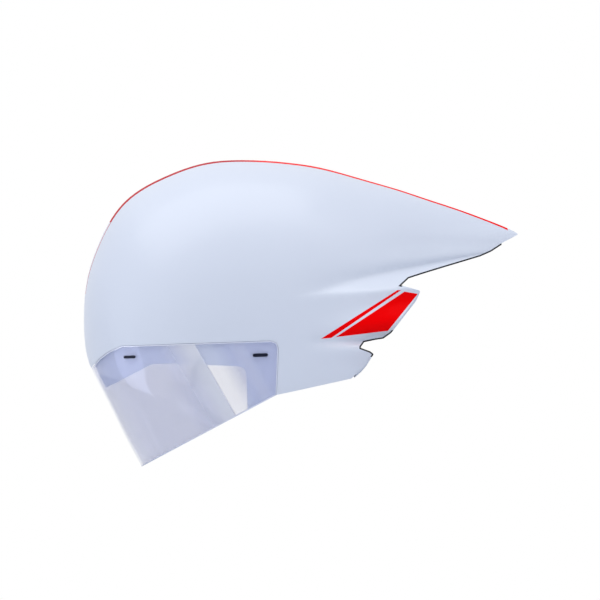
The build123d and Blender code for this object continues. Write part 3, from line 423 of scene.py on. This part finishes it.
def web(name, source, route, out):
    """A flat web along a route, as wide along one direction, and the length of the route."""
    shape = bmesh.new()
    weave_map = shape.loops.layers.uv.new("weave")
    half = out * (web_width / 2)
    shares = [i / web_strands for i in range(web_strands + 1)]
    starts = [shape.verts.new(route[0] - half + out * web_width * share) for share in shares]
    edges = [shape.edges.new(pair) for pair in zip(starts, starts[1:])]
    runs = {vert: 0.0 for vert in starts}
    sides = {vert: share * web_width for vert, share in zip(starts, shares)}
    length = 0.0
    for here, there in zip(route, route[1:]):
        length += (there - here).length
        grown = bmesh.ops.extrude_edge_only(shape, edges=edges)["geom"]
        verts = [part for part in grown if isinstance(part, bmesh.types.BMVert)]
        edges = [part for part in grown if isinstance(part, bmesh.types.BMEdge)]
        bmesh.ops.translate(shape, verts=verts, vec=there - here)
        for vert in verts:
            runs[vert] = length
            sides[vert] = (vert.co - there + half).dot(out)
    for face in shape.faces:
        face.smooth = True
        for loop in face.loops:
            loop[weave_map].uv = (sides[loop.vert], runs[loop.vert])
    mesh = bpy.data.meshes.new(name)
    shape.to_mesh(mesh)
    shape.free()
    made = bpy.data.objects.new(name, mesh)
    bpy.context.scene.collection.objects.link(made)
    mesh.materials.append(webbing)
    thick = made.modifiers.new("thickness", "SOLIDIFY")
    thick.thickness = web_wall
    thick.offset = 0.0
    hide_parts(source)
    return made, length


# The wall lies half a length and half a width from the centre of the head, and the web
# a little inside it.
half_length, half_width, harness_inset = 0.103, 0.080, 0.00095
pin_run, harness_rise, harness_steps = 0.0615, -0.013, 40
for side_name, sign in (("left", 1), ("right", -1)):
    route = []
    for index in range(harness_steps + 1):
        back = pin_run * (2 * index / harness_steps - 1)
        share = math.sqrt(1 - (back / (half_length - harness_inset)) ** 2)
        route.append(from_head(back, sign * (half_width - harness_inset) * share, harness_rise))
    made, length = web("harness_web_" + side_name, "strap_webs", route, head_axes[2])
    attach(made, "helmet")

# Chin strap: two webs of the same webbing, tucked up under the crown, from the dividers to the
# halves of the buckle. Each rises, bends over with the wall, and ends level.
strap_run, strap_side = -0.015, 0.07015
divider_rise, buckle_side, bend_angle = -0.0235, 0.0188, math.radians(62)
# Each web rises straight, bends over and runs level; the left web keeps its own place, and the right
# goes with the helmet.
straight_steps, bend_steps, level_steps = 6, 24, 5
bend_side, bend_rise = strap_side * math.cos(bend_angle), strap_side * math.sin(bend_angle)
for side_name, sign in (("left", 1), ("right", -1)):
    route = []
    for index in range(straight_steps + 1):
        rise = divider_rise * (1 - index / straight_steps)
        route.append(from_head(strap_run, sign * strap_side, rise))
    for index in range(1, bend_steps + 1):
        angle = bend_angle * index / bend_steps
        beside, above = strap_side * math.cos(angle), strap_side * math.sin(angle)
        route.append(from_head(strap_run, sign * beside, above))
    for index in range(1, level_steps + 1):
        beside = bend_side + (buckle_side - bend_side) * index / level_steps
        route.append(from_head(strap_run, sign * beside, bend_rise))
    made, length = web("chin_web_" + side_name, "chin_strap_" + side_name, route, head_axes[0])
    if side_name == "left":
        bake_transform(made)
    else:
        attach(made, "helmet")

# Studio: a pale paper floor that the helmet stands on, and soft light from a large frame
# overhead and two smaller ones, in front and behind. The background is plain white to the
# camera, in gloss and through the visor.
floor_paper, tree, shader = material("matt_paper")
place = node(tree, "TexCoord").outputs["Object"]
fibre_length, floor_size, floor_gap = 0.00333, 4.0, 0.0004
fibre = node(tree, "TexNoise", {"Vector": place, "Scale": 1 / fibre_length, "Detail": 3.0})
pulp = node(tree, "Mix", {"Factor": fibre, "A": "#e6e8ec", "B": "#eceef1"}, data_type="RGBA")
feed(shader, {"Base Color": pulp, "Roughness": 0.9})
shape = bmesh.new()
bmesh.ops.create_grid(shape, x_segments=2, y_segments=2, size=floor_size)
bmesh.ops.translate(shape, verts=shape.verts, vec=(0, 0, -floor_gap))
mesh = bpy.data.meshes.new("studio_floor")
shape.to_mesh(mesh)
shape.free()
studio_floor = bpy.data.objects.new("studio_floor", mesh)
bpy.context.scene.collection.objects.link(studio_floor)
mesh.materials.append(floor_paper)

world = bpy.data.worlds.new("studio")
bpy.context.scene.world = world
world.use_nodes = True
tree = world.node_tree
ambient = tree.nodes["Background"]
feed(ambient, {"Color": "#d6e0fa", "Strength": 0.46})
white = node(tree, "Background", {"Color": "#ffffff", "Strength": 1.0})
rays = node(tree, "LightPath").outputs
seen = node(tree, "Math", [rays["Is Camera Ray"], rays["Is Transmission Ray"]], operation="MAXIMUM")
seen = node(tree, "Math", [seen, rays["Is Glossy Ray"]], operation="MAXIMUM")
backdrop = node(tree, "MixShader", [seen, ambient, white])
feed(tree.nodes["World Output"], {"Surface": backdrop})


def softbox(name, spot, target, size, power, tint):
    """A flat lamp at a spot, turned to a target."""
    lamp = bpy.data.lights.new(name, "AREA")
    lamp.shape = "RECTANGLE"
    lamp.size, lamp.size_y = size
    lamp.energy = power
    lamp.color = colour(tint)[:3]
    held = bpy.data.objects.new(name, lamp)
    held.location = spot
    held.rotation_euler = (Vector(target) - Vector(spot)).to_track_quat("-Z", "Y").to_euler()
    bpy.context.scene.collection.objects.link(held)


softbox("overhead", (0.1, -0.5, 1.5), (0, 0, 0.1), (2.0, 1.4), 16.8, "#ffffff")
softbox("rear", (1.5, -1.0, 0.9), (0.1, 0, 0.1), (0.9, 0.9), 4.6, "#fbfcff")
softbox("front", (-1.6, -0.4, 0.5), (0, 0, 0.1), (1.2, 1.2), 5.0, "#f0f5ff")

# Camera: level with the helmet and square to its left side, rolled by the angle at which the
# helmet stands, so that it shows the riding attitude. Its view is as wide as the photograph's.
view_width, view_distance, view_centre = 0.5262, 2.0, Vector((0.0684, 0, 0.0009))
camera = bpy.data.cameras.new("camera")
camera.type = "ORTHO"
camera.ortho_scale = view_width
camera.clip_start, camera.clip_end = 0.01, 20.0
roll = Matrix.Rotation(riding_lean, 4, "Y")
aim = Matrix.Translation(riding_centre) @ roll @ view_centre
spot = Matrix.Translation((aim.x, -view_distance, aim.z))
stand = bpy.data.objects.new("camera", camera)
stand.matrix_world = spot @ roll @ Matrix.Rotation(math.radians(90), 4, "X")
bpy.context.scene.collection.objects.link(stand)
bpy.context.scene.camera = stand
bpy.context.scene.view_settings.view_transform = "Standard"
